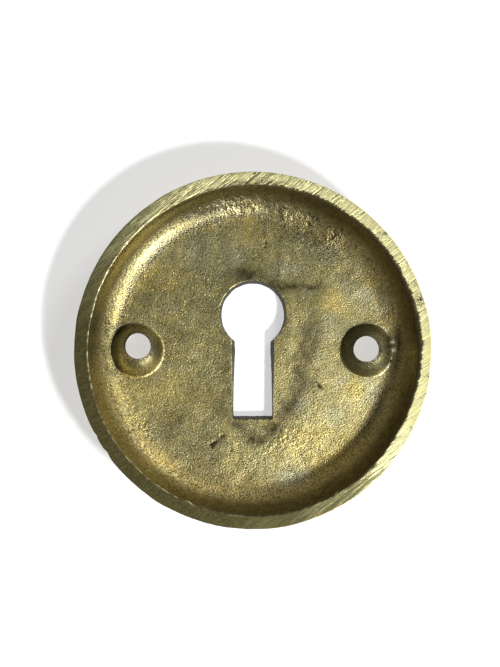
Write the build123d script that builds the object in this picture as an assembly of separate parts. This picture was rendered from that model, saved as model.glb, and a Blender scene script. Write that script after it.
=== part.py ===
"""Round keyhole escutcheon, a hollow brass casting in one piece.

The plate lies on its front face with its hollow back up, so +Z leaves the back.
+Y runs up the door, towards the round end of the keyhole. Millimetres and degrees throughout.
"""

import math
import os

from build123d import *

# Plate: a disc whose edge rolls back into a drafted wall, ground flat where it meets the door
PLATE_DIAMETER = 50.0
PLATE_HEIGHT = 6.4
RIM_WIDTH = 2.05
FLOOR_THICKNESS = 1.8
WALL_SLOPE = 65.0
EDGE_ROLL_RADIUS = 5.8
HOLLOW_DRAFT = 10.0
COVE_RADIUS = 4.6

# Keyhole: a round end for the key's shank over a straight slot for its bit
KEYHOLE_ROUND_DIAMETER = 9.25
KEYHOLE_ROUND_RISE = 5.1
KEYHOLE_SLOT_WIDTH = 5.65
KEYHOLE_SLOT_DROP = 9.6
KEYHOLE_CORNER_RADIUS = 0.3
KEYHOLE_FRONT_BREAK = 0.3

# Screw bosses: round caps cast on the floor of the hollow, which back the countersinks
BOSS_INSET = 6.8
BOSS_DIAMETER = 7.1
BOSS_CROWN = 2.2

# Screw holes: drilled by hand from the front, so each stands a little off its boss
SCREW_HOLE_DIAMETER = 3.6
COUNTERSINK_DIAMETER = 7.2
COUNTERSINK_ANGLE = 90.0
LEFT_HOLE_DRIFT = Vector(0.0, 0.6)
RIGHT_HOLE_DRIFT = Vector(-0.2, 0.2)

plate_radius = PLATE_DIAMETER / 2
rim_inner_radius = plate_radius - RIM_WIDTH
left_boss = Vector(BOSS_INSET - rim_inner_radius, 0)
right_boss = Vector(rim_inner_radius - BOSS_INSET, 0)


def plate_shell():
    """The plate's section turned about its axis: front face, rolled edge, wall, ground rim, cove and floor.

    The hollow stands steeper than the outside and runs into the floor by a cove nearly as high as the wall.
    """
    wall_run = 1 / math.tan(math.radians(WALL_SLOPE))
    hollow_run = math.tan(math.radians(HOLLOW_DRAFT))
    front_corner = (plate_radius - PLATE_HEIGHT * wall_run, 0)
    cove_corner = (rim_inner_radius - (PLATE_HEIGHT - FLOOR_THICKNESS) * hollow_run, FLOOR_THICKNESS)
    with BuildPart() as shell:
        with BuildSketch(Plane.XZ):
            with BuildLine():
                Polyline(
                    (0, 0),
                    front_corner,
                    (plate_radius, PLATE_HEIGHT),
                    (rim_inner_radius, PLATE_HEIGHT),
                    cove_corner,
                    (0, FLOOR_THICKNESS),
                    close=True,
                )
            make_face()
            fillet(vertices().sort_by_distance(front_corner)[0], EDGE_ROLL_RADIUS)
            fillet(vertices().sort_by_distance(cove_corner)[0], COVE_RADIUS)
        revolve(axis=Axis.Z)
    return shell.part


def boss(centre):
    """A cap of a sphere that stands on the floor, with a stub that reaches down into it."""
    foot_radius = BOSS_DIAMETER / 2
    stub_level = FLOOR_THICKNESS / 2
    sphere_radius = (foot_radius**2 + BOSS_CROWN**2) / (2 * BOSS_CROWN)
    sphere_level = FLOOR_THICKNESS + BOSS_CROWN - sphere_radius
    sphere = Pos(centre.X, centre.Y, sphere_level) * Sphere(sphere_radius)
    column = Pos(centre.X, centre.Y, stub_level) * Cylinder(
        foot_radius, PLATE_HEIGHT, align=(Align.CENTER, Align.CENTER, Align.MIN)
    )
    return sphere & column


def keyhole_outline():
    """The round end and the slot as one outline, with the slot's foot a little rounded."""
    round_end = Pos(0, KEYHOLE_ROUND_RISE) * Circle(KEYHOLE_ROUND_DIAMETER / 2)
    slot_length = KEYHOLE_ROUND_RISE + KEYHOLE_SLOT_DROP
    slot = Pos(0, -KEYHOLE_SLOT_DROP) * Rectangle(
        KEYHOLE_SLOT_WIDTH, slot_length, align=(Align.CENTER, Align.MIN)
    )
    foot = slot.vertices().group_by(Axis.Y)[0]
    return round_end + fillet(foot, KEYHOLE_CORNER_RADIUS)


def screw_hole(centre):
    """A drilled hole right through the boss, with a countersink for the screw's head at the front."""
    drill = Pos(centre.X, centre.Y, 0) * Cylinder(
        SCREW_HOLE_DIAMETER / 2, PLATE_HEIGHT, align=(Align.CENTER, Align.CENTER, Align.MIN)
    )
    head_radius = COUNTERSINK_DIAMETER / 2
    hole_radius = SCREW_HOLE_DIAMETER / 2
    depth = (head_radius - hole_radius) / math.tan(math.radians(COUNTERSINK_ANGLE / 2))
    sink = Pos(centre.X, centre.Y, 0) * Cone(
        head_radius, hole_radius, depth, align=(Align.CENTER, Align.CENTER, Align.MIN)
    )
    return drill + sink


def escutcheon_plate():
    """The whole casting with its bosses, cut for the key and the screws."""
    casting = plate_shell() + boss(left_boss) + boss(right_boss)
    casting -= extrude(keyhole_outline(), PLATE_HEIGHT)
    keyhole_front = casting.faces().sort_by(Axis.Z)[0].inner_wires()[0]
    casting = chamfer(keyhole_front.edges(), KEYHOLE_FRONT_BREAK)
    casting -= screw_hole(left_boss + LEFT_HOLE_DRIFT)
    casting -= screw_hole(right_boss + RIGHT_HOLE_DRIFT)
    return casting


os.makedirs("parts", exist_ok=True)
export_step(escutcheon_plate(), "parts/escutcheon_plate.step")
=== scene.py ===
import math

import bpy
import numpy as np
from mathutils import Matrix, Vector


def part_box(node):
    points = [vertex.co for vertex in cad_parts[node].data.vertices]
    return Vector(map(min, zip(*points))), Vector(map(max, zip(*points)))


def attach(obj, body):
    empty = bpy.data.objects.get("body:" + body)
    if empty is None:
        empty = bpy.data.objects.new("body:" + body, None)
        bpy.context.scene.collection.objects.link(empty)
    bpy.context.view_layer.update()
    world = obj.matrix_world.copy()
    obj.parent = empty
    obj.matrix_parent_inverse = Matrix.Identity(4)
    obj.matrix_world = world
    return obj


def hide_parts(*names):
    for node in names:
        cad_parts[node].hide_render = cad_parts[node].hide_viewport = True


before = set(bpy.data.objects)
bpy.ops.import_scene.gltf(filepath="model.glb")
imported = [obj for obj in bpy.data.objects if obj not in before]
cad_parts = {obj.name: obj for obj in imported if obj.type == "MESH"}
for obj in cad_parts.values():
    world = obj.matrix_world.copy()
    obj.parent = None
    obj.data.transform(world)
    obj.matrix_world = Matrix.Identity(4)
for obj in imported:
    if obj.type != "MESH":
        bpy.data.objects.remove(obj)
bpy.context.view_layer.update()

MM = 0.001
COLUMNS = 576
low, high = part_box("escutcheon_plate")
PLATE_RADIUS = (high[0] - low[0]) / 2 / MM
PLATE_HEIGHT = (high[2] - low[2]) / MM
RIM_WIDTH = 2.05
RIM_INNER_RADIUS = PLATE_RADIUS - RIM_WIDTH
FLOOR_THICKNESS = 1.8
WALL_SLOPE = math.radians(65.0)
EDGE_ROLL_RADIUS = 5.8
COVE_RADIUS = 4.6
HOLLOW_SLOPE = math.radians(80.0)
KEYHOLE_ROUND_RADIUS = 4.625
KEYHOLE_ROUND_RISE = 5.1
KEYHOLE_SLOT_HALF = 2.825
KEYHOLE_SLOT_DROP = 9.6
KEYHOLE_FRONT_BREAK = 0.3
KEYHOLE_DRAFT = 0.38
KEYHOLE_CORNER_POWER = 50.0


def uneven(x, y, pitch, seed):
    """Random heights from -1 to 1 at lattice points pitch apart, blended between them by smooth steps.

    The lattice is turned by seed radians, so that two of them never line up.
    """
    size = 256
    table = np.random.default_rng(seed).uniform(-1.0, 1.0, (size, size))
    u = (x * math.cos(seed) - y * math.sin(seed)) / pitch
    v = (x * math.sin(seed) + y * math.cos(seed)) / pitch
    i = np.floor(u).astype(int)
    j = np.floor(v).astype(int)
    u = u - i
    v = v - j
    u = u * u * (3.0 - 2.0 * u)
    v = v * v * (3.0 - 2.0 * v)
    near = table[i % size, j % size] * (1.0 - u) + table[(i + 1) % size, j % size] * u
    far = table[i % size, (j + 1) % size] * (1.0 - u) + table[(i + 1) % size, (j + 1) % size] * u
    return near * (1.0 - v) + far * v


def waver(x, y, broad, broad_pitch, fine, fine_pitch, seed):
    """A broad and a fine unevenness added together, each with its own height and pitch."""
    return broad * uneven(x, y, broad_pitch, seed) + fine * uneven(x, y, fine_pitch, seed + 1)


def around(turn, middle, half_width):
    """A soft hump round the clock: exp(-(angle from middle / half_width) squared), clock degrees from 12."""
    clock = 90.0 - np.degrees(turn)
    away = (clock - middle + 180.0) % 360.0 - 180.0
    return np.exp(-((away / half_width) ** 2))


def humps(turn, places):
    """Humps round the clock added up. Each place is a clock angle, a half width in degrees and a height."""
    return sum(height * around(turn, clock, half_width) for clock, half_width, height in places)


def blots(x, y, spots):
    """Soft oval marks: the strongest of strength * exp(-(along / length)^2 - (across / width)^2).

    Each spot is x, y, length, width, turn in degrees, strength.
    """
    s = np.array(spots)
    dx = x[..., None] - s[:, 0]
    dy = y[..., None] - s[:, 1]
    c = np.cos(np.radians(s[:, 4]))
    n = np.sin(np.radians(s[:, 4]))
    along = (dx * c + dy * n) / s[:, 2]
    across = (dy * c - dx * n) / s[:, 3]
    return np.max(s[:, 5] * np.exp(-along * along - across * across), axis=-1)


def keyhole_reach(turn):
    """Distance from the plate's middle to the keyhole's edge, in each direction.

    It is the farther of the slot's edge and the round end's edge. The slot's two lower sides are
    joined by a high power mean, which rounds the corners a little.
    """
    c = np.cos(turn)
    n = np.sin(turn)
    tiny = 1e-9
    side = KEYHOLE_SLOT_HALF / np.maximum(np.abs(c), tiny)
    foot = KEYHOLE_SLOT_DROP / np.maximum(np.abs(n), tiny)
    power = -KEYHOLE_CORNER_POWER
    lower = (side ** power + foot ** power) ** (1.0 / power)
    upper = np.minimum(side, KEYHOLE_ROUND_RISE / np.maximum(n, tiny))
    slot = np.where(n < 0.0, lower, upper)
    inside = KEYHOLE_ROUND_RADIUS ** 2 - (KEYHOLE_ROUND_RISE * c) ** 2
    end = KEYHOLE_ROUND_RISE * n + np.sqrt(np.maximum(inside, 0.0))
    return np.where((n > 0.0) & (inside > 0.0), np.maximum(slot, end), slot)


# the larger blow holes in the casting, in clusters: x, y, radius, depth
PITS = np.array((
    (-5.95, -13.25, 0.24, 0.20), (-5.55, -13.05, 0.20, 0.18), (-5.72, -13.55, 0.17, 0.14),
    (-5.20, -12.85, 0.14, 0.10), (-4.45, -12.10, 0.17, 0.14), (-4.15, -12.00, 0.15, 0.12),
    (9.20, -4.95, 0.20, 0.16), (9.45, -5.20, 0.16, 0.14), (9.05, -4.55, 0.14, 0.12),
    (1.80, 15.20, 0.17, 0.12), (1.70, 14.60, 0.15, 0.10), (7.70, 18.00, 0.20, 0.16),
    (7.95, 17.75, 0.16, 0.12), (11.60, 16.40, 0.20, 0.16), (11.20, 15.90, 0.17, 0.14),
    (10.80, 15.75, 0.14, 0.12), (-3.10, -14.10, 0.13, 0.10), (12.50, 17.00, 0.16, 0.12),
))

# two coarse places in the sand: x, y, length, width, turn, strength
COARSE_SAND = ((11.4, 16.6, 3.6, 2.6, 30.0, 1.0), (5.6, -12.8, 6.0, 3.0, 10.0, 0.7))


def from_pits(x, y):
    """Distance from the middle of each pit, counted in that pit's own radius."""
    return np.hypot(x[..., None] - PITS[:, 0], y[..., None] - PITS[:, 1]) / PITS[:, 2]


def cast_skin(x, y):
    """How far the sand left the hollow above or below its true shape, in millimetres.

    Broad swells, smaller lumps that grow coarser to the lower right, and round pits cut below them.
    """
    coarse = 0.35 + 0.65 / (1.0 + np.exp(-(x * 0.62 - y * 0.5) / 4.0)) + 0.8 * blots(x, y, COARSE_SAND)
    swells = waver(x, y, 0.05, 7.0, 0.025, 3.1, 2)
    lumps = waver(x, y, 0.016, 1.3, 0.016, 0.62, 4)
    holes = np.sum(PITS[:, 3] * np.exp(-from_pits(x, y) ** 4), axis=-1)
    return swells + lumps * coarse - holes


# marks on the two edges of the rim: clock angle, half width in degrees, height in millimetres
CAST_TEETH = ((203.0, 1.0, 0.22), (148.0, 1.4, 0.12))
WORN_LIP = ((82.0, 30.0, 0.38), (72.0, 110.0, 0.26), (8.0, 26.0, 0.16))
EDGE_NICKS = ((235.0, 1.3, 0.16), (241.5, 1.0, 0.14), (62.0, 1.0, 0.07))


def rim_inner(turn):
    """Radius of the rim's inner edge in each direction, with its waver and two cast teeth, in millimetres."""
    x = RIM_INNER_RADIUS * np.cos(turn)
    y = RIM_INNER_RADIUS * np.sin(turn)
    return RIM_INNER_RADIUS + waver(x, y, 0.05, 2.2, 0.03, 0.6, 15) - humps(turn, CAST_TEETH)


def lip_width(turn):
    """How far the rim's inner edge is rounded off in each direction: most at 3 o'clock, in millimetres."""
    x = RIM_INNER_RADIUS * np.cos(turn)
    y = RIM_INNER_RADIUS * np.sin(turn)
    return (0.11 + humps(turn, WORN_LIP)) * (1.0 + 0.18 * uneven(x, y, 0.6, 17))


def between(start, end, share):
    """A straight run from start to end."""
    return start + (end - start) * share


def rounded(start, corner, end, share):
    """A quadratic curve from start to end, which leaves and arrives along its lines to the corner."""
    return (1 - share) ** 2 * start + 2 * share * (1 - share) * corner + share ** 2 * end


def dish_surface(columns):
    """The plate as a closed ring of sections, columns of them round its middle, in millimetres.

    Each section goes up the keyhole's wall, out over the floor, round the cove, up the wall, over the
    ground rim, down the outside, round the rolled edge and back over the front to the keyhole.
    """
    turn = np.linspace(0.0, 2.0 * math.pi, columns, endpoint=False)
    c = np.cos(turn)
    n = np.sin(turn)
    keyhole = keyhole_reach(turn)
    keyhole = keyhole + 0.06 + waver(keyhole * c, keyhole * n, 0.035, 0.9, 0.02, 0.35, 11)
    outer = PLATE_RADIUS - 0.04 + waver(PLATE_RADIUS * c, PLATE_RADIUS * n, 0.04, 3.0, 0.02, 0.7, 13)
    outer = outer - humps(turn, EDGE_NICKS)
    inner = rim_inner(turn)
    lip = lip_width(turn)
    lean = 1.0 / math.tan(WALL_SLOPE)
    floor_edge = RIM_INNER_RADIUS - (PLATE_HEIGHT - FLOOR_THICKNESS) / math.tan(HOLLOW_SLOPE)
    floor_edge = floor_edge - COVE_RADIUS * math.tan(HOLLOW_SLOPE / 2.0)
    front_edge = PLATE_RADIUS - PLATE_HEIGHT * lean - EDGE_ROLL_RADIUS * math.tan(WALL_SLOPE / 2.0)
    section = []

    def span(count):
        return np.linspace(0.0, 1.0, count)[:, None]

    def rows(radius, height, skin=0.0):
        section.append(np.broadcast_arrays(radius, height, skin, turn)[:3])

    # the keyhole's wall and its softened upper edge
    soft_edge = 0.12
    s = span(5)
    rows(keyhole - KEYHOLE_DRAFT * (1.0 - s), between(KEYHOLE_FRONT_BREAK, FLOOR_THICKNESS - soft_edge, s))
    rows(keyhole[None] + 0.03, FLOOR_THICKNESS - 0.035, 0.5)

    # the floor, with closer rows near the keyhole, and the cove
    s = span(60) ** 1.2
    rows(between(keyhole + 0.11, floor_edge, s), FLOOR_THICKNESS, np.minimum(1.0, 0.6 + 4.0 * s))
    bend = span(25)[1:] * HOLLOW_SLOPE
    rows(floor_edge + COVE_RADIUS * np.sin(bend), FLOOR_THICKNESS + COVE_RADIUS * (1.0 - np.cos(bend)), 1.0)

    # the wall above the cove, and the lip that wear has rounded
    cove_top = floor_edge + COVE_RADIUS * math.sin(HOLLOW_SLOPE)
    cove_height = FLOOR_THICKNESS + COVE_RADIUS * (1.0 - math.cos(HOLLOW_SLOPE))
    under = np.minimum(0.12 + 0.8 * lip, 0.75)
    wall_end = inner - under * math.cos(HOLLOW_SLOPE)
    wall_height = PLATE_HEIGHT - under * math.sin(HOLLOW_SLOPE)
    s = span(4)[1:]
    rows(between(cove_top, wall_end, s), between(cove_height, wall_height, s), 1.0 - 0.6 * s)
    s = span(7)[1:]
    lip_height = rounded(wall_height, PLATE_HEIGHT, PLATE_HEIGHT, s)
    rows(rounded(wall_end, inner, inner + lip, s), lip_height, 0.4 * (1 - s))

    # the ground rim and its outer corner
    corner_in = 0.09
    corner_drop = 0.12
    wall_top = outer - corner_drop * lean
    s = span(11)[1:]
    rows(between(inner + lip, outer - corner_in, s), PLATE_HEIGHT)
    s = span(5)[1:]
    rows(rounded(outer - corner_in, outer, wall_top, s), PLATE_HEIGHT - corner_drop * s ** 2)

    # the outside, the rolled edge and the front
    roll_top = front_edge + EDGE_ROLL_RADIUS * math.sin(WALL_SLOPE)
    roll_height = EDGE_ROLL_RADIUS * (1.0 - math.cos(WALL_SLOPE))
    s = span(8)[1:]
    rows(between(wall_top, roll_top, s), between(PLATE_HEIGHT - corner_drop, roll_height, s))
    bend = (1.0 - span(14)[1:]) * WALL_SLOPE
    rows(front_edge + EDGE_ROLL_RADIUS * np.sin(bend), EDGE_ROLL_RADIUS * (1.0 - np.cos(bend)))
    rows(between(front_edge, keyhole - KEYHOLE_DRAFT + KEYHOLE_FRONT_BREAK, span(12)[1:]), 0.0)

    radius, height, skin = (np.concatenate(part) for part in zip(*section))
    x = radius * c
    y = radius * n
    return np.stack((x, y, height + skin * cast_skin(x, y)), axis=-1)


def new_piece(name, points, faces):
    """Puts points in millimetres and their faces into a mesh, and the mesh into the scene."""
    mesh = bpy.data.meshes.new(name)
    mesh.from_pydata((points * MM).tolist(), [], faces)
    mesh.update()
    piece = bpy.data.objects.new(name, mesh)
    bpy.context.scene.collection.objects.link(piece)
    return piece


def ring_mesh(name, points):
    """A mesh from rows of points that close both ways, rows and columns, in millimetres."""
    count, columns = points.shape[:2]
    at = np.arange(count * columns).reshape(count, columns)
    on = np.roll(at, -1, axis=0)
    faces = np.stack((at, on, np.roll(on, -1, axis=1), np.roll(at, -1, axis=1)), axis=-1)
    return new_piece(name, points.reshape(-1, 3), faces.reshape(-1, 4).tolist())


plate = ring_mesh("brass_plate", dish_surface(COLUMNS))

# Screw bosses: two low round caps on the floor of the hollow, cast in one with the plate.
# They give each countersunk screw head its depth of metal.
# The left one came out a little farther from the plate's middle than the right one.
BOSS_LEFT = -16.42
BOSS_RIGHT = 16.15
BOSS_RADIUS = 3.72
BOSS_CROWN = 2.2
BOSS_ROOT = 0.30
BOSS_STUB = 0.9
HOLE_RADIUS = 1.8
HOLES = ((-16.15, 0.6), (15.95, 0.2))


def boss_surface(middle, hole, seed, columns=112):
    """A cap of a sphere that runs out through a small hollow curve onto the floor, in millimetres.

    Rows go from the crown outwards, then straight down into the floor. The drill raised a thin burr
    on the cap, a hump in the distance from the hole's edge.
    """
    turn = np.linspace(0.0, 2.0 * math.pi, columns, endpoint=False)
    ball = (BOSS_RADIUS ** 2 + BOSS_CROWN ** 2) / (2.0 * BOSS_CROWN)
    cap_edge = BOSS_RADIUS - 0.12
    foot = BOSS_RADIUS + BOSS_ROOT
    cap_out = np.linspace(0.04, 1.0, 30) * cap_edge
    cap = np.sqrt(ball ** 2 - cap_out ** 2) - (ball - BOSS_CROWN)
    tail_out = np.linspace(BOSS_RADIUS, foot, 6)
    tail = (tail_out - cap_edge) / (foot - cap_edge)
    tail_height = cap[-1] * (1.0 - tail) ** 2.4 - 0.03 * tail
    out_of_round = 1.0 + 0.008 * np.sin(2.0 * turn + seed)
    radius = np.concatenate((cap_out, tail_out, [foot]))[:, None] * out_of_round
    x = middle + radius * np.cos(turn)
    y = radius * np.sin(turn)
    z = FLOOR_THICKNESS + np.concatenate((cap, tail_height, [-BOSS_STUB]))[:, None] + 0.0 * turn
    from_edge = np.hypot(x - hole[0], y - hole[1]) - HOLE_RADIUS
    round_hole = np.arctan2(y - hole[1], x - hole[0])
    torn = 0.5 + 0.5 * uneven(3.0 * np.cos(round_hole), 3.0 * np.sin(round_hole), 0.5, seed)
    burr = 0.10 * torn * np.exp(-((from_edge - 0.03) / 0.16) ** 2)
    skin = waver(x, y, 0.03, 1.7, 0.012, 0.6, seed + 1)
    z[:-1] = z[:-1] + skin[:-1] + burr[:-1]
    return np.stack((x, y, z), axis=-1)


def capped_mesh(name, points):
    """A mesh from rows of points closed round their columns, with the two end rows closed to a point."""
    count, columns = points.shape[:2]
    at = np.arange(count * columns).reshape(count, columns)
    on = np.roll(at, -1, axis=1)
    quads = np.stack((at[:-1], at[1:], on[1:], on[:-1]), axis=-1).reshape(-1, 4)
    first = count * columns
    start = np.stack((np.full(columns, first), at[0], on[0]), axis=-1)
    end = np.stack((np.full(columns, first + 1), on[-1], at[-1]), axis=-1)
    ends = np.stack((points[0].mean(axis=0), points[-1].mean(axis=0)))
    faces = quads.tolist() + start.tolist() + end.tolist()
    return new_piece(name, np.concatenate((points.reshape(-1, 3), ends)), faces)


def join_or_cut(piece, tool, operation):
    """Joins the tool's solid to the piece or cuts it away, and drops the tool."""
    change = piece.modifiers.new(tool.name, "BOOLEAN")
    change.operation = operation
    change.solver = "EXACT"
    change.object = tool
    whole = bpy.data.meshes.new_from_object(piece.evaluated_get(bpy.context.evaluated_depsgraph_get()))
    piece.modifiers.remove(change)
    old = piece.data
    piece.data = whole
    bpy.data.meshes.remove(old)
    bpy.data.objects.remove(tool)


join_or_cut(plate, capped_mesh("left_boss", boss_surface(BOSS_LEFT, HOLES[0], 21)), "UNION")
join_or_cut(plate, capped_mesh("right_boss", boss_surface(BOSS_RIGHT, HOLES[1], 31)), "UNION")

# Screw holes: drilled from the front by hand, each a little off the middle of its boss,
# and countersunk on the front for a flush wood screw.
COUNTERSINK_RADIUS = 3.6
COUNTERSINK_DEPTH = COUNTERSINK_RADIUS - HOLE_RADIUS


def drill_surface(hole, columns=96):
    """The drill's own shape: a cone below the front, then a straight shank up past the boss, in millimetres.

    The shank's rows are closest about the floor. A small three-sided waver is what a hand drill leaves.
    """
    turn = np.linspace(0.0, 2.0 * math.pi, columns, endpoint=False)
    past_front = 0.5
    half_cone = COUNTERSINK_DEPTH / 2.0
    height = np.array((7.0, 5.0, 3.4, 2.6, COUNTERSINK_DEPTH, half_cone, 0.0, -past_front))
    radius = HOLE_RADIUS + np.maximum(0.0, COUNTERSINK_DEPTH - height)
    ring = radius[:, None] + 0.02 * np.sin(3.0 * turn + hole[0])
    x = hole[0] + ring * np.cos(turn)
    y = hole[1] + ring * np.sin(turn)
    return np.stack((x, y, height[:, None] + 0.0 * turn), axis=-1)


join_or_cut(plate, capped_mesh("left_drill", drill_surface(HOLES[0])), "DIFFERENCE")
join_or_cut(plate, capped_mesh("right_drill", drill_surface(HOLES[1])), "DIFFERENCE")

# Cast skin: the hollow as it came from the sand, brass gone olive and brown with age,
# lighter and more granular towards the lower right.
# Marks on the mesh, one number for each vertex, say where it is stained, lighter, worn or pitted, and where
# light and shade are painted into its colour.
mesh = plate.data
mesh.shade_smooth()
mesh.set_sharp_from_angle(angle=math.radians(48.0))
place = np.empty(len(mesh.vertices) * 3, dtype=np.float32)
mesh.vertices.foreach_get("co", place)
x, y, z = (place.reshape(-1, 3) / MM).T.astype(float)
bearing = np.arctan2(y, x)
from_middle = np.hypot(x, y)
clock = (90.0 - np.degrees(bearing)) % 360.0
astray_x = x + waver(x, y, 0.5, 1.6, 0.25, 0.7, 41)
astray_y = y + waver(x, y, 0.5, 1.6, 0.25, 0.7, 43)


def mark(name, value):
    """Keeps one number per vertex on the mesh, for the finish to read."""
    layer = mesh.attributes.new(name, "FLOAT", "POINT")
    layer.data.foreach_set("value", np.ascontiguousarray(value, dtype=np.float32))


def step(value, start, end):
    """0 below start and 1 above end, joined by a smooth curve."""
    t = np.clip((value - start) / (end - start), 0.0, 1.0)
    return t * t * (3.0 - 2.0 * t)


def hump(value, middle, half_width):
    """1 at the middle, falling off on both sides: exp(-((value - middle) / half_width) squared)."""
    return np.exp(-((value - middle) / half_width) ** 2)


# stains and warm, grey and rough patches of the skin: x, y, length, width, turn, strength;
# the stains at the bosses' feet are painted shadow
STAINS_AND_SHADOWS = (
    (-0.6, 10.9, 2.6, 1.0, 8.0, 0.8), (-2.9, 11.0, 1.4, 0.9, 30.0, 0.45),
    (-3.6, 9.0, 1.6, 0.5, 52.0, 0.5), (5.0, 8.8, 4.2, 0.9, -3.0, 0.95), (8.6, 8.9, 1.6, 0.7, -4.0, 1.0),
    (7.2, 1.0, 2.8, 0.9, 82.0, 0.7), (8.9, 1.4, 2.2, 0.7, 80.0, 0.5), (6.6, -3.6, 2.6, 1.0, 80.0, 0.85),
    (6.7, -5.9, 1.3, 0.8, 70.0, 0.7), (5.2, -7.9, 2.2, 1.0, 66.0, 0.95),
    (2.9, -10.6, 1.8, 0.9, 30.0, 0.95), (0.6, -12.4, 1.7, 0.8, 0.0, 0.85),
    (-2.3, -10.3, 1.2, 0.8, -40.0, 0.7), (-5.2, -12.6, 1.4, 0.6, 30.0, 0.5),
    (-4.0, -2.6, 5.0, 0.8, 90.0, 0.45), (-2.4, 9.9, 1.2, 0.6, 40.0, 0.6),
    (-5.4, -6.4, 1.6, 0.9, 70.0, 0.35), (4.5, 3.6, 2.2, 0.45, 96.0, 0.5),
    # painted shadow at the bosses' feet: the two marks near x -19 and the one at x 20.4
    (-19.0, 3.2, 1.3, 0.5, 55.0, 0.75), (-19.2, -3.1, 0.9, 0.6, -60.0, 0.5),
    (20.4, 1.0, 1.8, 0.45, 90.0, 0.8), (-3.9, -8.5, 1.5, 0.8, 90.0, 0.45),
    (4.2, -9.7, 1.5, 1.0, 45.0, 0.6), (8.7, -4.7, 1.2, 0.9, 0.0, 0.6), (5.6, -5.8, 1.1, 0.8, 90.0, 0.6),
)
WARM_PATCHES = (
    (11.6, 7.1, 2.4, 1.6, 0.0, 0.9), (14.4, -5.6, 1.6, 1.8, 0.0, 0.9), (8.8, -11.9, 4.0, 2.6, 25.0, 0.6),
    (11.8, -15.0, 6.0, 1.7, 38.0, 1.0), (-0.6, 18.0, 1.4, 2.4, 0.0, 0.8),
    (-14.6, 10.2, 2.4, 1.4, 50.0, 0.9), (-11.6, 10.0, 2.2, 1.8, 30.0, 0.95),
    (-17.6, 7.6, 2.6, 1.0, 60.0, 0.6), (-12.0, -6.2, 4.4, 3.2, 0.0, 0.75),
    (-16.2, -4.6, 2.8, 2.6, 0.0, 1.0), (-12.0, 1.0, 1.6, 1.6, 0.0, 0.8),
    (-12.2, -9.0, 1.4, 1.2, 0.0, 0.7), (9.4, 15.1, 1.4, 1.0, 0.0, 0.6),
    (-13.0, -15.0, 3.4, 1.2, -42.0, 0.4), (-2.0, -17.5, 2.4, 1.2, 0.0, 0.5),
)
GREY_PATCHES = (
    (-7.6, 13.8, 2.6, 2.0, 20.0, 0.5), (15.4, 7.7, 1.8, 1.5, 0.0, 1.0), (5.6, -17.9, 2.6, 1.3, 12.0, 0.9),
    (17.2, -2.8, 1.2, 1.8, -20.0, 0.8), (17.4, -5.6, 1.3, 2.4, -30.0, 0.6),
    (-5.0, 19.6, 4.6, 1.0, 16.0, 0.8), (11.7, 3.4, 1.8, 1.6, 0.0, 0.6), (11.5, -9.5, 1.8, 1.6, 0.0, 0.6),
    (9.4, 13.6, 3.0, 1.6, -20.0, 0.4), (-2.6, 13.6, 1.5, 2.4, 0.0, 0.75), (1.0, 19.4, 4.0, 0.9, 0.0, 0.5),
    (4.6, 11.6, 2.2, 1.2, 0.0, 0.5), (7.0, -8.0, 1.6, 1.6, 0.0, 0.5), (14.9, 12.5, 1.6, 1.4, 0.0, 0.6),
    (18.3, 6.8, 0.9, 1.6, 0.0, 0.7), (12.4, -4.0, 1.2, 1.0, 0.0, 0.6), (12.8, 8.9, 1.0, 1.0, 0.0, 0.5),
    (8.4, 8.3, 1.2, 0.8, 0.0, 0.5), (-13.4, 14.4, 3.0, 1.0, 47.0, 0.6),
)
ROUGH_PATCHES = (
    (-1.8, 20.6, 4.2, 1.2, 4.0, 1.0), (11.2, 16.2, 2.4, 1.6, 30.0, 0.55),
    (4.4, -12.6, 5.0, 2.0, 8.0, 0.7), (-16.0, -10.4, 1.2, 4.6, 32.0, 0.5),
    (5.2, 19.2, 3.0, 1.0, -18.0, 0.7),
)
DUSTY_PATCHES = ((-9.0, 9.0, 7.5, 6.0, 40.0, 1.0), (-10.5, 0.0, 4.0, 5.0, 0.0, 0.6))
mark("stain_and_shade", blots(astray_x, astray_y, STAINS_AND_SHADOWS))
mark("warm", blots(astray_x, astray_y, WARM_PATCHES))
mark("grey", blots(astray_x, astray_y, GREY_PATCHES))
mark("rough", blots(astray_x, astray_y, ROUGH_PATCHES))
mark("dusty", blots(x, y, DUSTY_PATCHES))
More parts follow.
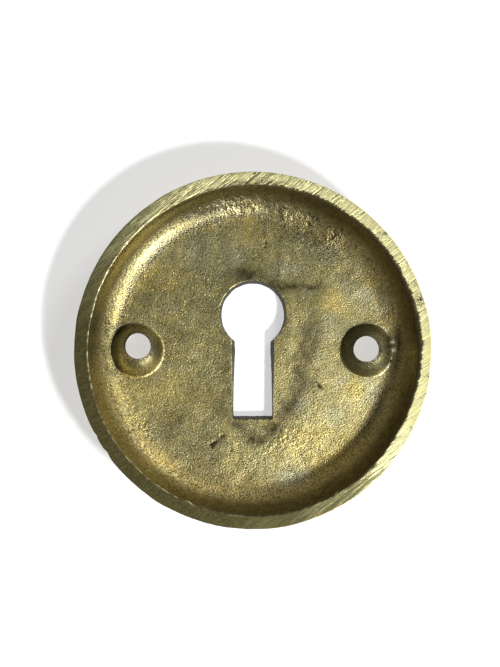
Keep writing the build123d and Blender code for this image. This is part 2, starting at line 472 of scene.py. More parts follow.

# lighter and darker places, x, y, half width, half height, strength: partly patchy tone of the skin,
# partly painted light and shade, such as painted shadow at the left boss's upper left and painted light
# beside the right boss,
# and lighter and darker bands in the cove, radius, half width, clock angle, half length in degrees, strength:
# painted light and shade, a darker painted shadow edge on the lamp's side and painted bands that shape the
# highlight opposite it
TONE_AND_PAINTED_LIGHT_SPOTS = (
    (11.2, 7.8, 2.4, 2.0, 0.5), (15.8, 7.5, 1.6, 1.8, 0.55), (8.0, 16.6, 2.0, 2.4, -0.65),
    (11.0, 14.2, 2.6, 2.0, -0.65), (9.8, 16.9, 1.1, 1.0, 1.0), (6.9, 14.7, 1.2, 1.2, -0.3),
    (13.1, 9.0, 1.0, 1.0, -0.3), (2.6, -13.3, 1.2, 0.9, -0.3), (-11.6, 13.2, 1.2, 1.2, 0.65),
    (2.5, 15.8, 1.0, 1.0, -0.4), (2.1, -19.3, 1.2, 0.6, -0.25), (-6.4, -2.6, 1.2, 1.6, -0.45),
    (-14.8, -4.2, 1.8, 1.2, -0.4), (-17.5, 8.4, 0.9, 1.2, -0.4), (14.3, 13.1, 2.0, 2.0, 0.6),
    (13.8, 4.9, 1.6, 1.4, 0.75), (4.8, 13.8, 2.6, 1.6, 0.35), (5.7, 9.8, 1.2, 0.8, 0.4),
    (-3.6, 14.6, 2.2, 2.6, 0.45), (14.0, -6.6, 2.2, 3.0, 0.45), (17.2, -2.8, 1.4, 2.0, 0.5),
    (9.4, -12.3, 3.6, 2.6, 0.3), (8.1, -9.6, 1.0, 1.0, -0.2), (5.4, -17.4, 2.6, 1.4, -0.2),
    (-11.0, -5.6, 1.8, 1.8, 0.3), (-6.4, -12.2, 1.6, 2.4, -0.35), (-16.6, -2.4, 1.6, 2.4, -0.2),
    (-10.4, -11.2, 2.6, 3.4, -0.5), (-14.9, -10.0, 1.2, 1.2, 0.35), (-6.9, -14.8, 1.4, 1.2, -0.4),
    (-11.6, -15.6, 2.4, 1.4, 0.45), (-13.2, -13.4, 1.4, 1.2, 0.35), (7.7, -1.2, 1.8, 6.0, -0.57),
    (8.9, 1.4, 1.2, 2.2, -0.4), (6.8, -6.3, 1.6, 1.6, -0.55), (5.2, -8.2, 1.6, 2.2, -0.6),
    (0.4, -11.0, 3.6, 1.6, -0.6), (-3.6, -17.3, 3.0, 1.0, -0.3), (3.4, -10.7, 1.8, 1.2, -0.4),
    (-0.5, -14.1, 1.4, 1.0, -0.2), (-1.4, 10.6, 2.6, 1.2, -0.4), (3.0, 9.4, 1.2, 0.8, -0.35),
    (-11.9, 0.6, 1.2, 1.4, -0.5), (-12.2, 6.5, 1.2, 1.2, -0.25), (-6.9, -8.8, 1.2, 1.4, -0.25),
    (-5.4, -6.4, 1.2, 1.8, -0.35), (-4.4, -1.0, 1.2, 4.4, -0.2), (-9.0, 2.0, 3.0, 4.0, -0.1),
    (-6.6, 18.6, 3.0, 1.2, -0.9), (-16.3, 12.0, 1.2, 1.4, -0.2), (-16.1, 5.9, 1.6, 1.8, 0.8),
    (-19.4, 3.3, 0.9, 1.0, -1.3), (-19.2, -3.1, 0.8, 0.9, -0.5), (16.15, 0.0, 3.4, 3.4, -0.9),
    (19.0, 3.4, 0.9, 1.2, 1.1), (18.7, -3.7, 0.9, 1.0, 0.9), (17.2, -7.9, 1.2, 1.6, -0.4),
    (17.2, -1.7, 1.8, 1.8, -0.8), (-14.7, -0.6, 2.0, 2.2, -0.62), (14.3, -1.5, 1.4, 1.4, 0.35),
    (-18.3, 1.6, 1.7, 1.7, 1.5), (-17.8, -1.7, 1.4, 1.2, -0.35), (-8.8, 8.4, 2.0, 2.0, 0.4),
    (-6.7, 4.0, 1.6, 1.6, 0.45), (-10.4, 14.6, 1.6, 1.2, 0.45), (-2.8, 17.1, 2.0, 1.0, 1.0),
    (1.7, 11.9, 1.3, 1.1, 1.0), (8.2, 12.1, 1.6, 1.1, 0.5), (0.5, 14.8, 5.0, 2.4, 0.3),
    (5.3, 5.2, 1.0, 2.6, 0.65), (-16.2, -7.8, 1.7, 1.8, 0.7), (-12.6, -7.6, 1.2, 1.2, -0.3),
    (-3.5, -11.1, 1.0, 0.9, 1.1), (16.5, 10.4, 1.2, 1.2, 0.35),
)
PAINTED_COVE_LIGHT_BANDS = (
    (19.3, 0.5, 120.0, 28.0, -0.8), (18.9, 0.5, 160.0, 20.0, 0.3), (20.3, 0.4, 90.0, 11.0, -0.5),
    (21.7, 0.5, 90.0, 15.0, 0.5), (20.5, 0.5, 132.0, 36.0, 0.35), (18.9, 0.7, 181.0, 10.0, 0.4),
    (21.4, 0.6, 150.0, 40.0, 0.3), (19.1, 0.33, 312.0, 46.0, -1.35), (19.85, 0.45, 318.0, 26.0, -0.95),
    (18.3, 0.6, 308.0, 44.0, 0.75), (19.4, 0.6, 0.0, 14.0, -0.45), (20.85, 0.4, 316.0, 44.0, -0.9),
    (20.1, 0.35, 340.0, 20.0, 0.35), (20.1, 0.35, 285.0, 14.0, 0.4), (21.1, 0.5, 308.0, 54.0, 0.3),
    (19.9, 0.5, 346.0, 11.0, 0.6), (20.2, 0.35, 270.0, 12.0, 0.5), (20.7, 0.4, 250.0, 20.0, -0.4),
    (20.3, 0.5, 214.0, 24.0, -0.35), (22.4, 0.4, 212.0, 34.0, -0.4), (18.7, 0.6, 56.0, 22.0, 0.35),
    (19.3, 0.5, 20.0, 12.0, 0.3),
)
tone_and_painted_light = sum(strength * hump(astray_x, across, wide) * hump(astray_y, up, tall)
           for across, up, wide, tall, strength in TONE_AND_PAINTED_LIGHT_SPOTS)
tone_and_painted_light = tone_and_painted_light + sum(strength * hump(from_middle, ring, wide) * around(bearing, middle, spread)
                  for ring, wide, middle, spread, strength in PAINTED_COVE_LIGHT_BANDS)
mark("tone_and_painted_light", np.tanh(tone_and_painted_light))
mark("pit", np.max(np.exp(-(from_pits(x, y) / 1.3) ** 4), axis=1))

# the bosses: smoother than the floor, with painted shade at the foot away from the light and over the bright
# curve at the right boss's lower right foot, and a painted glint at its right edge
right_side = x > 0.0
boss_x = x - np.where(right_side, BOSS_RIGHT, BOSS_LEFT)
on_boss = np.hypot(boss_x, y)
boss_turn = np.arctan2(y, boss_x)
boss_top = 1.0 - step(on_boss, BOSS_RADIUS - 0.15, BOSS_RADIUS + 0.15)
boss_top = boss_top * step(z, FLOOR_THICKNESS - 0.3, FLOOR_THICKNESS)
boss_foot = hump(on_boss, BOSS_RADIUS + 0.05, 0.22) * step(z, FLOOR_THICKNESS - 0.3, FLOOR_THICKNESS - 0.1)
# painted shade over the bright curve at the right boss's lower right foot
right_foot = right_side * around(boss_turn, 128.0, 26.0) * (0.6 + 0.8 * uneven(x, y, 0.4, 55))
bright_foot = around(boss_turn, 88.0, 40.0) * np.where(right_side, 1.5, 0.3)
mark("boss", boss_top)
mark("shade", boss_foot * (around(boss_turn, 312.0, 55.0) + right_foot))
mark("glint", boss_foot * bright_foot * (0.45 + uneven(x, y, 0.4, 54)))
hole_left, hole_right = (np.hypot(x - hole_x, y - hole_y) for hole_x, hole_y in HOLES)
drill_edge = hump(np.minimum(hole_left, hole_right), HOLE_RADIUS, 0.34)
drill_edge = drill_edge * step(z, FLOOR_THICKNESS, FLOOR_THICKNESS + 0.3)
mark("drilled", np.where(right_side, 0.5, 1.0) * drill_edge)

# from the floor out into the cove: painted shade and light by distance from the middle, then where it is
# open, smooth, brown, grimy and shaded, and crumbly
# depth: painted shade, darkest where the floor turns up into the cove, and painted light higher up the wall;
# the bosses take a fixed share
depth = np.interp(from_middle, (16.4, 17.3, 18.1, 18.6, 19.0, 19.4, 19.8, 20.6, 21.1, 21.5),
                  (1.01, 0.98, 0.87, 0.88, 0.84, 0.86, 0.93, 0.87, 1.00, 1.06))
mark("depth", between(depth, 0.88, boss_top))
into_cove = step(from_middle, 17.6, 19.4)
mark("open", 1.0 - 0.85 * into_cove)
mark("brown", into_cove * (1.0 - 0.75 * around(bearing, 290.0, 58.0)))
# sheen: the smooth cove opposite the lamp, where its highlight falls; its colour is darkened there, painted
# shade that dims the highlight, and its grain is calmer
smooth_dimmed_cove = step(from_middle, 18.4, 19.6) * (1.0 - 0.55 * hump(from_middle, 21.1, 0.6)) * step(z, 1.9, 2.2)
mark("sheen", smooth_dimmed_cove * around(bearing, 316.0, 44.0))
# corner: the wall above the cove darkened, most on the side away from the lamp: grime and painted shade
grime_and_shade = np.interp(clock, (0, 30, 60, 90, 120, 180, 205, 230, 260, 285, 310, 330, 345, 360),
                  (0.42, 0.8, 0.8, 0.72, 1.0, 0.85, 0.45, 0.34, 0.4, 0.5, 0.55, 0.5, 0.42, 0.42))
mark("corner", grime_and_shade * step(from_middle + 0.25 * uneven(x, y, 2.0, 53), 19.6, 22.0) * step(z, 2.0, 3.2))
high_cove = step(from_middle, 19.9, 20.6) * (1.0 - step(from_middle, 22.0, 22.6))
mark("crumb", high_cove * around(bearing, 332.0, 44.0))

# round the clock: how much lighter and coarser the floor is, most at the lower right
bright = np.interp(clock, (0, 22, 67, 112, 157, 180, 202, 247, 292, 337, 360),
                   (0.08, 0.08, 0.58, 0.85, 0.80, 0.58, 0.40, 0.52, 0.24, 0.12, 0.08))
mark("bright", between(0.4, bright, step(from_middle, 2.0, 9.0)))


class Finish:
    """A brass finish put together from shader nodes, each call adding one node and returning its output."""

    def __init__(self, name):
        self.material = bpy.data.materials.new(name)
        self.material.use_nodes = True
        self.tree = self.material.node_tree
        self.shader = self.tree.nodes["Principled BSDF"]
        spot = self.tree.nodes.new("ShaderNodeTexCoord").outputs["Object"]
        self.place = self.scaled(spot, 1.0 / MM)

    def put(self, socket, value):
        """Links another node's output to the socket, or sets a plain number or colour on it."""
        if isinstance(value, bpy.types.NodeSocket):
            self.tree.links.new(value, socket)
        elif socket.type == "RGBA":
            socket.default_value = (*value, 1.0)
        else:
            socket.default_value = value

    def node(self, kind, inputs, output=0, **settings):
        """Adds a node with its settings and inputs."""
        made = self.tree.nodes.new(kind)
        for key, value in settings.items():
            setattr(made, key, value)
        for key, value in inputs.items():
            self.put(made.inputs[key], value)
        return made.outputs[output]

    def scaled(self, vector, factor):
        """A place or a colour times a number."""
        return self.node("ShaderNodeVectorMath", {0: vector, "Scale": factor}, operation="SCALE")

    def vectors(self, operation, first, second):
        """Two places or colours added, subtracted or compared, number by number."""
        return self.node("ShaderNodeVectorMath", {0: first, 1: second}, operation=operation)

    def noise(self, scale, detail=2.0, rough=0.5, place=None):
        """Soft random blobs, scale of them to a millimetre."""
        inputs = {"Vector": place or self.place, "Scale": scale, "Detail": detail, "Roughness": rough}
        return self.node("ShaderNodeTexNoise", inputs, "Fac")

    def cells(self, scale, output="Distance", place=None, kind="F1"):
        """Random cells: the distance from a cell's middle, or the cell's own colour."""
        inputs = {"Vector": place or self.place, "Scale": scale}
        return self.node("ShaderNodeTexVoronoi", inputs, output, feature=kind)

    def dots(self, scale, edge, core, few, many, place=None):
        """Round dots, full within core and gone past edge, in cells whose own shade is past few to many."""
        size = self.fit(self.cells(scale, "Distance", place), edge, core)
        return self.times(size, self.fit(self.cells(scale, "Color", place), few, many))

    def stray(self, scale, reach):
        """Places moved about by a noise, so that a pattern laid on them loses its even look."""
        inputs = {"Vector": self.place, "Scale": scale, "Detail": 2.0}
        shift = self.node("ShaderNodeTexNoise", inputs, "Color")
        shift = self.scaled(self.vectors("SUBTRACT", shift, (0.5, 0.5, 0.5)), reach)
        return self.vectors("ADD", self.place, shift)

    def lay(self, turn, along, across):
        """Places turned by degrees and measured in lengths along and across that turn."""
        turned = (0.0, 0.0, math.radians(turn))
        inputs = {"Vector": self.place, "Rotation": turned, "Scale": (along, across, 1.0)}
        return self.node("ShaderNodeMapping", inputs, vector_type="TEXTURE")

    def kept(self, name):
        """A mark kept on the mesh."""
        return self.node("ShaderNodeAttribute", {}, "Fac", attribute_name=name)

    def fit(self, value, start, end, low=0.0, high=1.0):
        """Carries the range from start to end over to the range from low to high, and stops there."""
        inputs = {"Value": value, "From Min": start, "From Max": end, "To Min": low, "To Max": high}
        return self.node("ShaderNodeMapRange", inputs)

    def chain(self, operation, values):
        """Joins numbers from left to right by one operation."""
        result = values[0]
        for value in values[1:]:
            result = self.node("ShaderNodeMath", {0: result, 1: value}, operation=operation)
        return result

    def times(self, *values):
        return self.chain("MULTIPLY", values)

    def plus(self, *values):
        return self.chain("ADD", values)

    def minus(self, *values):
        return self.chain("SUBTRACT", values)

    def larger(self, *values):
        return self.chain("MAXIMUM", values)

    def mix(self, factor, first, second):
        """A number between two others."""
        inputs = {"Factor": factor, "A": first, "B": second}
        return self.node("ShaderNodeMix", inputs, "Result", data_type="FLOAT")

    def tint(self, factor, first, second, how="MIX"):
        """A colour between two others, or the first multiplied by the second."""
        inputs = {0: factor, 6: first, 7: second}
        return self.node("ShaderNodeMix", inputs, 2, data_type="RGBA", blend_type=how)

    def bump(self, height, depth, strength=1.0):
        """A surface direction that follows small heights, depth in millimetres."""
        return self.node("ShaderNodeBump", {"Height": height, "Distance": depth * MM, "Strength": strength})

    def finish(self, colour, roughness, normal, metallic=1.0):
        """Sets the shader's main sockets and gives the finish its place on the plate."""
        self.put(self.shader.inputs["Base Color"], colour)
        self.put(self.shader.inputs["Roughness"], roughness)
        self.put(self.shader.inputs["Metallic"], metallic)
        self.put(self.shader.inputs["Normal"], normal)
        mesh.materials.append(self.material)


OLIVE_SKIN = (0.268, 0.235, 0.091)
LIGHTER_SKIN = (0.465, 0.40, 0.163)
LIGHT_MOTTLE = (0.58, 0.50, 0.20)
DARK_MOTTLE = (0.19, 0.16, 0.062)
GOLDEN_HUE = (0.55, 0.44, 0.128)
GREENISH_HUE = (0.36, 0.35, 0.165)
WARM_BRASS = (0.52, 0.40, 0.10)
GREY_BRASS = (0.43, 0.43, 0.28)
HIGHLIGHT_DIMMING_SHADE = (0.110, 0.102, 0.050)
DUSTY_TOPS = (0.56, 0.555, 0.47)
BOSS_BRASS = (0.228, 0.203, 0.098)
COVE_BROWN = (1.08, 1.0, 0.89)
DARKEST_GRAIN = (0.02, 0.015, 0.004)
STAIN_AND_SHADOW_BROWN = (0.045, 0.036, 0.016)
SPECK_BROWN = (0.085, 0.062, 0.014)
DRILLED_GREY = (0.19, 0.17, 0.14)
CORNER_GRIME_AND_SHADE = (0.130, 0.103, 0.046)
FOOT_SHADE = (0.03, 0.025, 0.015)
PAINTED_GLINT_COLOUR = (0.95, 0.91, 0.70)
PIT_DARK = (0.018, 0.015, 0.01)

cast = Finish("cast_brass_skin")
blotch = cast.noise(0.32, 4.0, 0.6)
mottle = cast.noise(1.05, 5.0, 0.66)
lumps = cast.noise(2.2, 3.0, 0.6)
patchy = cast.noise(0.7, 2.0, 0.5)
dust = cast.noise(6.5, 3.0, 0.7)
strewn = cast.stray(2.2, 0.4)
sand = cast.cells(5.0, "Distance", strewn, "SMOOTH_F1")
peel = cast.cells(2.7, "Distance", strewn, "SMOOTH_F1")
grain = cast.noise(1.0, 0.4, 0.5, cast.lay(38.0, 0.21, 0.15))
hue = cast.noise(0.55, 3.0, 0.6, strewn)
rough_patch = cast.kept("rough")
sheen = cast.kept("sheen")
corner = cast.kept("corner")
smooth_boss = cast.kept("boss")
drilled = cast.kept("drilled")
open_floor = cast.kept("open")
dusty = cast.kept("dusty")
shade = cast.kept("shade")
glint = cast.kept("glint")
pit = cast.kept("pit")
stain_and_shade = cast.times(cast.kept("stain_and_shade"), cast.fit(cast.plus(mottle, grain), 0.76, 1.08, 0.1, 1.2))
warm = cast.times(cast.kept("warm"), cast.fit(mottle, 0.35, 0.62, 0.3, 1.2))
grey = cast.times(cast.kept("grey"), cast.fit(blotch, 0.35, 0.6, 0.4, 1.0))
brighter_lower_right = cast.plus(cast.kept("bright"), cast.fit(blotch, 0.3, 0.7, -0.3, 0.3))
strong = cast.fit(brighter_lower_right, 0.0, 0.6, 0.5, 1.0)
crumb = cast.times(cast.kept("crumb"), cast.dots(2.4, 0.30, 0.10, 0.55, 0.62, strewn))
pimple = cast.times(cast.dots(2.0, 0.40, 0.08, 0.6, 0.75, strewn), cast.fit(patchy, 0.42, 0.56))
speck = cast.dots(3.4, 0.42, 0.22, 0.5, 0.56, strewn)
tops = cast.dots(5.0, 0.38, 0.16, 0.5, 0.66, strewn)

# the colour in broad patches, then lighter and darker places, partly painted light and shade, then the grain,
# then dirt and wear, painted shade and a painted glint
colour = cast.tint(cast.fit(brighter_lower_right, 0.05, 1.0), OLIVE_SKIN, LIGHTER_SKIN)
colour = cast.tint(cast.times(cast.fit(mottle, 0.42, 0.7, 0.0, 0.2), strong), colour, LIGHT_MOTTLE)
colour = cast.tint(cast.times(cast.fit(mottle, 0.46, 0.28, 0.0, 0.22), strong), colour, DARK_MOTTLE)
colour = cast.tint(cast.fit(hue, 0.5, 0.68, 0.0, 0.5), colour, GOLDEN_HUE)
colour = cast.tint(cast.fit(hue, 0.46, 0.32, 0.0, 0.45), colour, GREENISH_HUE)
colour = cast.tint(cast.times(warm, 0.8), colour, WARM_BRASS)
colour = cast.tint(grey, colour, GREY_BRASS)
# painted shade that dims the highlight in the smooth cove
colour = cast.tint(cast.times(sheen, 0.9), colour, HIGHLIGHT_DIMMING_SHADE)
colour = cast.tint(cast.times(tops, dusty, 0.6), colour, DUSTY_TOPS)
colour = cast.tint(cast.times(smooth_boss, 0.84), colour, BOSS_BRASS)
# painted light and shade: the tone marks and the depth by distance scale the colour
tone_and_painted_light = cast.fit(cast.kept("tone_and_painted_light"), -1.0, 1.0, 0.39, 1.63)
colour = cast.scaled(colour, cast.times(tone_and_painted_light, cast.kept("depth")))
cove_clouds = cast.fit(cast.noise(2.6, 3.0, 0.68), 0.32, 0.68, 0.62, 1.4)
colour = cast.scaled(colour, cast.mix(open_floor, cove_clouds, 1.0))
brown = cast.times(cast.kept("brown"), cast.minus(1.0, smooth_boss))
colour = cast.tint(brown, colour, COVE_BROWN, "MULTIPLY")
brighter_floor = cast.times(cast.fit(brighter_lower_right, 0.0, 1.0), open_floor)
grainless = cast.larger(sheen, cast.times(cast.larger(smooth_boss, corner), 0.7))
pale = cast.times(cast.fit(grain, 0.28, 0.66, -1.0, 0.75), cast.fit(brighter_floor, 0.0, 1.0, 1.05, 0.74))
pale = cast.times(pale, cast.minus(1.0, grainless), 0.2)
pale_parts = {0: pale, 1: cast.times(pale, 0.93), 2: cast.times(pale, 0.62)}
pale_brass = cast.node("ShaderNodeCombineXYZ", pale_parts)
colour = cast.vectors("MAXIMUM", cast.vectors("ADD", colour, pale_brass), DARKEST_GRAIN)
# stains, and painted shadow at the bosses' feet
colour = cast.tint(stain_and_shade, colour, STAIN_AND_SHADOW_BROWN)
colour = cast.tint(cast.times(speck, cast.fit(brighter_lower_right, 0.1, 0.8, 0.4, 0.95), open_floor), colour, SPECK_BROWN)
colour = cast.tint(cast.times(drilled, cast.fit(dust, 0.4, 0.6, 0.3, 1.0)), colour, DRILLED_GREY)
# grime and painted shade on the wall above the cove
colour = cast.tint(cast.times(corner, cast.fit(mottle, 0.3, 0.7, 1.0, 0.6)), colour, CORNER_GRIME_AND_SHADE)
# painted shade at the bosses' feet
colour = cast.tint(cast.times(shade, 0.85), colour, FOOT_SHADE)
# painted glint at the bosses' feet, mostly the right one
colour = cast.tint(glint, colour, PAINTED_GLINT_COLOUR)
colour = cast.tint(pit, colour, PIT_DARK)

# the height of the sand's grain: coarse where lighter or rough, calm on the bosses and in the smooth cove
coarse = cast.plus(cast.fit(brighter_lower_right, 0.0, 1.0, 0.17, 0.56), cast.times(rough_patch, 0.12))
calm = cast.larger(cast.times(smooth_boss, 0.3), cast.times(sheen, 0.8))
coarse = cast.times(coarse, cast.fit(calm, 0.0, 1.0, 1.0, 0.5), cast.fit(patchy, 0.35, 0.65, 0.8, 1.2))
coarse = cast.plus(coarse, cast.times(drilled, 1.5))
peeled = cast.times(peel, cast.fit(open_floor, 0.15, 1.0, 0.8, 0.3))
height = cast.minus(cast.times(lumps, 0.16), cast.times(sand, 0.2), peeled)
height = cast.plus(height, cast.times(dust, 0.1), cast.times(grain, 1.5))
height = cast.times(cast.minus(height, cast.times(speck, 0.9)), coarse)
height = cast.plus(height, cast.times(pimple, cast.fit(dusty, 0.0, 1.0, 0.04, 0.65)))
height = cast.plus(height, cast.times(cast.larger(crumb, cast.times(glint, grain)), 0.9))
height = cast.plus(height, cast.times(cast.noise(1.5, 2.0, 0.55), rough_patch, 4.8))
roughness = cast.minus(cast.fit(brighter_lower_right, 0.0, 1.0, 0.40, 0.52), cast.times(sheen, 0.08))
cast.finish(colour, roughness, cast.bump(height, 0.15, 0.40), cast.fit(stain_and_shade, 0.0, 1.0, 1.0, 0.8))

# a thin pale film on the skin, which catches the light without the brass's own colour
dull = cast.larger(stain_and_shade, sheen, smooth_boss, corner, speck, shade, pit)
film = cast.times(cast.fit(dull, 0.0, 1.0, 0.46, 0.08), cast.fit(pale, -0.1, 0.1, 0.8, 1.2))
cast.put(cast.shader.inputs["Coat Weight"], film)
cast.put(cast.shader.inputs["Coat IOR"], 1.65)
cast.put(cast.shader.inputs["Coat Roughness"], 0.38)
cast.put(cast.shader.inputs["Coat Normal"], cast.bump(height, 0.15, 0.9))

# Ground rim: the flat that meets the door, dressed on a wheel in one direction.
# Its colour is bright from 12 round to 5 o'clock and dark elsewhere: partly the wheel's marks, partly painted
# light on the lamp's side and painted shade away from it.
DULL_SHADED_RIM_DARK = (0.125, 0.107, 0.040)
DULL_SHADED_RIM_LIGHT = (0.220, 0.194, 0.075)
FRESH_CUT_LIT = (0.80, 0.76, 0.395)
WHEEL_LINE = (0.32, 0.285, 0.125)
RIM_PATCH = (0.14, 0.12, 0.055)
OUTER_EDGE_SHADE = (0.20, 0.18, 0.085)
RIM_CHIP = (0.07, 0.06, 0.03)
INNER_LIP = (0.13, 0.105, 0.05)
BURR_AND_PAINTED_HIGHLIGHT = (0.70, 0.66, 0.42)
# chips and dark scale left on the rim: x, y, length, width, turn, strength
RIM_CHIPS = (
    (18.5, 16.3, 0.35, 0.25, 48.0, 1.5), (23.3, 7.0, 0.6, 0.8, 20.0, 1.4),
    (22.6, 9.3, 0.35, 0.35, 0.0, 0.8), (23.8, 1.0, 0.4, 0.25, 0.0, 0.8), (1.0, 23.9, 1.4, 0.4, 10.0, 0.6),
    (-1.4, 23.45, 2.6, 0.4, 3.0, 0.8), (2.6, 23.4, 2.4, 0.35, -6.0, 0.8),
)
# how brightly the rim is coloured round the clock: fresh wheel marks and painted light, brightest on the
# lamp's side
fresh_and_lit = np.interp(clock,
                  (0, 15, 30, 45, 60, 122, 135, 143, 151, 165, 180, 200, 270, 285, 300, 316, 330, 345, 360),
                  (0.60, 0.70, 0.92, 1.08, 1.15, 1.18, 0.62, 0.42, 0.32, 0.22,
                   0.15, 0.05, 0.06, 0.18, 0.27, 0.42, 0.54, 0.80, 0.60))
rim_in = from_middle - rim_inner(bearing) - lip_width(bearing)
# burr: a thin bright line along the rim's inner edge at the left and lower left, partly the burr and partly a
# painted highlight where the edge catches the lamp
burr = humps(bearing, ((284.0, 50.0, 1.0), (196.0, 26.0, 0.45))) * hump(rim_in, -0.05, 0.1)
mark("fresh_and_lit", fresh_and_lit)
mark("edge", step(from_middle, 24.2, 24.75))
mark("rim_in", rim_in)
mark("chip", blots(x, y, RIM_CHIPS))
mark("burr", burr * np.clip(0.35 + 1.5 * uneven(x, y, 0.34, 52), 0.0, 1.2))

rim = Finish("ground_rim")
hatch = rim.noise(1.0, 3.0, 0.6, rim.lay(40.0, 4.0, 0.30))
lines = rim.noise(1.0, 2.0, 0.6, rim.lay(36.0, 1.8, 0.17))
swathe = rim.noise(1.0, 2.0, 0.5, rim.lay(44.0, 6.0, 0.9))
patch = rim.noise(0.9, 3.0, 0.6)
streak = rim.plus(hatch, lines)
wheel = rim.plus(rim.fit(streak, 0.72, 1.28, 0.38, 1.1), rim.fit(swathe, 0.3, 0.7, 0.0, 0.55))
cut = rim.fit(rim.times(rim.kept("fresh_and_lit"), wheel), 0.12, 0.85)
border = rim.plus(rim.kept("rim_in"), rim.fit(streak, 0.7, 1.3, -0.22, 0.22))
flat = rim.fit(border, -0.03, 0.05)
scale = rim.times(rim.kept("chip"), rim.fit(rim.noise(3.6, 3.0, 0.7), 0.44, 0.5))
chips = rim.larger(rim.dots(1.7, 0.26, 0.12, 0.72, 0.8), scale)
aged_and_shaded = rim.tint(rim.fit(rim.noise(3.0, 3.0, 0.7), 0.35, 0.65), DULL_SHADED_RIM_DARK, DULL_SHADED_RIM_LIGHT)
colour = rim.tint(cut, aged_and_shaded, FRESH_CUT_LIT)
colour = rim.tint(rim.fit(lines, 0.47, 0.33, 0.0, 0.5), colour, WHEEL_LINE)
colour = rim.tint(rim.fit(patch, 0.45, 0.25, 0.0, 0.35), colour, RIM_PATCH)
# painted shade where the rim rolls over at its outer edge
colour = rim.tint(rim.times(rim.kept("edge"), 0.16), colour, OUTER_EDGE_SHADE)
colour = rim.tint(rim.times(chips, 0.92), colour, RIM_CHIP)
colour = rim.tint(flat, INNER_LIP, colour)
colour = rim.tint(rim.kept("burr"), colour, BURR_AND_PAINTED_HIGHLIGHT)
height = rim.times(rim.plus(rim.times(hatch, 0.7), rim.times(lines, 0.5)), cut)
rim.finish(colour, rim.mix(cut, 0.40, 0.50), rim.bump(height, 0.05))

# Front: the side that shows on the door, rounded at the edge and rubbed to a soft satin.
# It has dulled evenly, with small brown specks left in it.
SATIN_DARK = (0.52, 0.43, 0.20)
SATIN_LIGHT = (0.66, 0.55, 0.27)
SATIN_SPECK = (0.24, 0.18, 0.08)
front = Finish("satin_front")
blotch = front.noise(0.22, 4.0, 0.6)
fine = front.noise(3.4, 3.0, 0.6)
scratch = front.noise(1.0, 2.0, 0.6, front.lay(20.0, 6.0, 0.2))
colour = front.tint(front.fit(blotch, 0.3, 0.7), SATIN_DARK, SATIN_LIGHT)
colour = front.tint(front.fit(fine, 0.42, 0.25, 0.0, 0.6), colour, SATIN_SPECK)
height = front.plus(fine, front.times(scratch, 0.5))
front.finish(colour, front.fit(blotch, 0.3, 0.7, 0.36, 0.27), front.bump(height, 0.012))

# Bored walls: the keyhole's sides, filed after casting, and the two drilled holes.
# Coloured nearly black, as painted shade inside the openings, with marks running through the plate.
WALL_DARK = (0.012, 0.010, 0.007)
WALL_LIGHT = (0.06, 0.05, 0.026)
bored = Finish("filed_walls")
through = bored.node("ShaderNodeMapping", {"Vector": bored.place, "Scale": (3.0, 3.0, 0.5)})
marks = bored.noise(1.0, 3.0, 0.6, through)
colour = bored.tint(bored.fit(marks, 0.35, 0.65), WALL_DARK, WALL_LIGHT)
bored.finish(colour, 0.55, bored.bump(marks, 0.04), 0.8)

# Each face of the plate takes one of the four finishes, by where it lies and which way it looks.
# They count in the order they were made: cast skin, ground rim, satin front, bored walls.
CAST_SKIN, GROUND_RIM, SATIN_FRONT, BORED_WALLS = range(4)
face_count = len(mesh.polygons)
middle = np.empty(face_count * 3, dtype=np.float32)
facing = np.empty(face_count * 3, dtype=np.float32)
mesh.polygons.foreach_get("center", middle)
mesh.polygons.foreach_get("normal", facing)
face_x, face_y, face_z = (middle.reshape(-1, 3).astype(float) / MM).T
facing_x, facing_y, facing_z = facing.reshape(-1, 3).astype(float).T
face_out = np.hypot(face_x, face_y)
face_turn = np.arctan2(face_y, face_x)
inward = -(facing_x * np.cos(face_turn) + facing_y * np.sin(face_turn))
in_hollow = (facing_z > 0.15) | ((inward > 0.5) & (face_z > FLOOR_THICKNESS))
in_hollow = in_hollow & (face_out < RIM_INNER_RADIUS + 1.0)
on_rim = (face_z > PLATE_HEIGHT - 0.5) & (facing_z > 0.46) & (face_out > rim_inner(face_turn) - 0.12)
hole_left, hole_right = (np.hypot(face_x - hole_x, face_y - hole_y) for hole_x, hole_y in HOLES)
in_hole = np.minimum(hole_left, hole_right) < HOLE_RADIUS + 0.04
in_keyhole = (face_out < keyhole_reach(face_turn) + 0.12) & (face_z < FLOOR_THICKNESS + 0.1)
in_keyhole = in_keyhole & (np.abs(facing_z) < 0.97)
finish = np.full(face_count, SATIN_FRONT)
finish[in_hollow] = CAST_SKIN
finish[on_rim] = GROUND_RIM
finish[in_hole | in_keyhole] = BORED_WALLS
mesh.polygons.foreach_set("material_index", finish.astype(np.int32))

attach(plate, "root")
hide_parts("escutcheon_plate")

# Floor: the plain pale paper that the plate lies on, front face down.
# It glows a little, as paper lit from behind does, and lies a hair below the front.
FLOOR_HALF = 3000.0
FLOOR_GAP = 0.02
corners = np.array(((-1.0, -1.0), (1.0, -1.0), (1.0, 1.0), (-1.0, 1.0))) * FLOOR_HALF
floor = new_piece("pale_floor", np.column_stack((corners, np.full(4, -FLOOR_GAP))), [(0, 1, 2, 3)])
paper = bpy.data.materials.new("pale_paper")
paper.use_nodes = True
sheet = paper.node_tree.nodes["Principled BSDF"]
sheet.inputs["Base Color"].default_value = (0.50, 0.50, 0.50, 1.0)
sheet.inputs["Roughness"].default_value = 0.9
sheet.inputs["Emission Color"].default_value = (1.0, 1.0, 1.0, 1.0)
sheet.inputs["Emission Strength"].default_value = 0.55
floor.data.materials.append(paper)


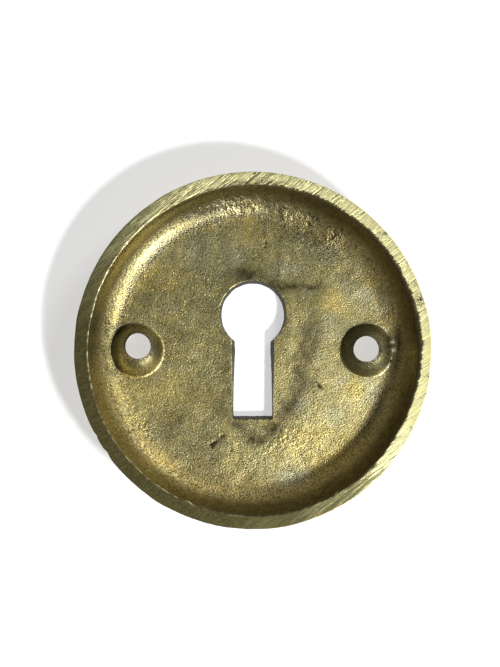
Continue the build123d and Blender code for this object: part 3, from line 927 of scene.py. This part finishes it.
# Light: one small soft lamp at about half past 4, halfway up, with a weak broad fill from the upper right.
# The room is dark overhead and paler towards the walls.
def lamp(name, clock, rise, distance, width, height, power):
    """A soft lamp that looks at the plate, set by its clock angle and its rise above the floor in degrees."""
    made = bpy.data.lights.new(name, "AREA")
    made.shape = "RECTANGLE"
    made.size = width
    made.size_y = height
    made.energy = power
    holder = bpy.data.objects.new(name, made)
    flat_turn = math.radians(90.0 - clock)
    up = math.radians(rise)
    away = distance * math.cos(up)
    holder.location = (away * math.cos(flat_turn), away * math.sin(flat_turn), distance * math.sin(up))
    holder.rotation_euler = (math.radians(90.0 - rise), 0.0, math.radians(180.0 - clock))
    bpy.context.scene.collection.objects.link(holder)


ROOM_AT_WALLS = 0.24
ROOM_OVERHEAD = 0.10
lamp("key_lamp", 133.0, 45.0, 0.60, 0.09, 0.06, 5.2)
lamp("fill_lamp", 45.0, 40.0, 0.80, 0.30, 0.20, 1.9)
room = bpy.data.worlds.new("room")
room.use_nodes = True
bpy.context.scene.world = room
tree = room.node_tree
aim = tree.nodes.new("ShaderNodeTexCoord")
split = tree.nodes.new("ShaderNodeSeparateXYZ")
fade = tree.nodes.new("ShaderNodeMapRange")
fade.inputs["To Min"].default_value = ROOM_AT_WALLS
fade.inputs["To Max"].default_value = ROOM_OVERHEAD
tree.links.new(aim.outputs["Generated"], split.inputs[0])
tree.links.new(split.outputs["Z"], fade.inputs["Value"])
tree.links.new(fade.outputs[0], tree.nodes["Background"].inputs["Strength"])
tree.nodes["Background"].inputs["Color"].default_value = (1.0, 1.0, 1.0, 1.0)

# Camera: straight above, as the picture was taken, with the plate a little low in the upright picture.
# It stands well back, so the rim and the floor of the hollow come out nearly at one scale.
CAMERA_ABOVE_RIM = 0.42
PICTURE_LONG_SIDE = 0.0930
PICTURE_MIDDLE = (-0.00039, 0.00238)
SENSOR_WIDTH = 36.0
camera = bpy.data.cameras.new("camera")
camera.sensor_width = SENSOR_WIDTH
camera.lens = SENSOR_WIDTH * CAMERA_ABOVE_RIM / PICTURE_LONG_SIDE
camera.clip_start = 0.01
eye = bpy.data.objects.new("camera", camera)
eye.location = (*PICTURE_MIDDLE, PLATE_HEIGHT * MM + CAMERA_ABOVE_RIM)
bpy.context.scene.collection.objects.link(eye)
bpy.context.scene.camera = eye
bpy.context.scene.view_settings.view_transform = "Standard"
